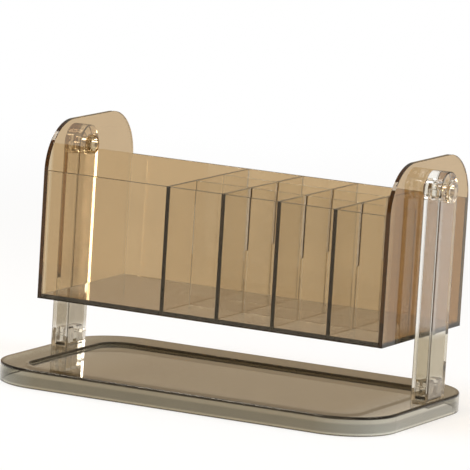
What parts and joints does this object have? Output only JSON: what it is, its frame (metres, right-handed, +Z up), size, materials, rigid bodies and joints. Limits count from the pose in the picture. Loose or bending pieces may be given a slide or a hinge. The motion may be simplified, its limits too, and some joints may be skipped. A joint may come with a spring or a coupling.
{
  "type": "rotating makeup organizer",
  "caption": "Clear smoky-amber makeup organizer: a divided open box that turns on a level pivot between two posts standing on a shallow jewellery tray.",
  "frame": {"origin": "middle of the base's underside, on the surface that the organizer stands on", "axes": "+Z up, +X to the right along the pivot line, -Y to the front where the tray sticks out"},
  "size_m": [0.226, 0.1282, 0.1337],
  "materials": {
    "box_sheet": "clear amber sheet, polished faces and edges",
    "post_plastic": "clear taupe moulding, polished",
    "base_plastic": "clear smoky taupe moulding, polished",
    "anchor_plastic": "clear, nearly colourless moulding",
    "pivot_plastic": "clear taupe moulding, polished",
    "washer_plastic": "translucent, satin"
  },
  "bodies": {
    "stand": {"base_tray": "base_plastic", "left_post": "post_plastic", "right_post": "post_plastic", "left_post_anchor": "anchor_plastic", "right_post_anchor": "anchor_plastic"},
    "box": {"front_panel": "box_sheet", "back_panel": "box_sheet", "left_end_panel": "box_sheet", "right_end_panel": "box_sheet", "box_floor": "box_sheet", "brush_divider": "box_sheet", "column_divider_1": "box_sheet", "column_divider_2": "box_sheet", "column_divider_3": "box_sheet", "row_divider_front": "box_sheet", "row_divider_rear": "box_sheet", "left_pivot_pin": "pivot_plastic", "left_pivot_cap": "pivot_plastic", "right_pivot_pin": "pivot_plastic", "right_pivot_cap": "pivot_plastic", "left_pivot_washer": "washer_plastic", "right_pivot_washer": "washer_plastic"}
  },
  "joints": [
    {"name": "box_turn", "type": "hinge", "parent": "stand", "child": "box", "pos_m": [0, 0.0173, 0.118], "axis": [1, 0, 0], "continuous": true}
  ]
}
